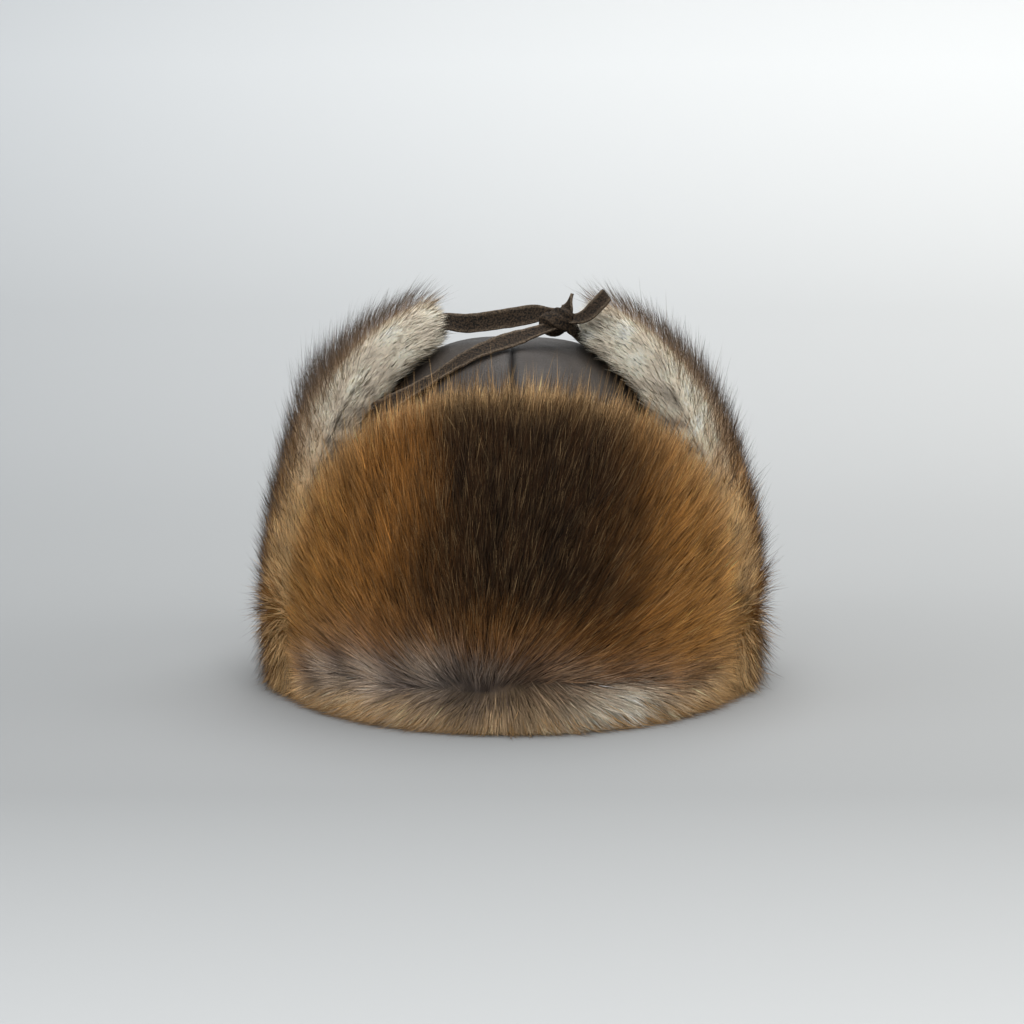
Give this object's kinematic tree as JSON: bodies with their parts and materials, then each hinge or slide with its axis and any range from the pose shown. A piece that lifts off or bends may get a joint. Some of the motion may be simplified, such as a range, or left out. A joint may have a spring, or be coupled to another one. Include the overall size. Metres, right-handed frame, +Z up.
{
  "type": "fur aviator hat",
  "caption": "Fur aviator hat with a leather crown; its fur visor, ear flaps and neck flap are turned up, tied over the top. Stands on its rim.",
  "frame": {"origin": "on the surface that the hat stands on, at the centre of its rim", "axes": "+Z up through the crown; the visor at the front faces -Y; +X is the wearer's left, the right of the picture"},
  "size_m": [0.2562, 0.2819, 0.1974],
  "materials": {
    "crown_leather": "dark grey matt leather",
    "flap_leather": "dark matt leather",
    "fur": "deep natural fur",
    "ribbon": "dark brown woven ribbon"
  },
  "bodies": {
    "root": {"crown_left": "crown_leather", "crown_right": "crown_leather", "visor_fur": "fur", "visor_backing": "flap_leather", "neck_fur": "fur", "neck_backing": "flap_leather", "ear_left_fur": "fur", "ear_left_backing": "flap_leather", "ear_right_fur": "fur", "ear_right_backing": "flap_leather", "tie_left": "ribbon", "tie_lower": "ribbon", "tie_right": "ribbon", "tail_pointed": "ribbon", "tail_square": "ribbon", "knot": "ribbon"}
  },
  "joints": []
}
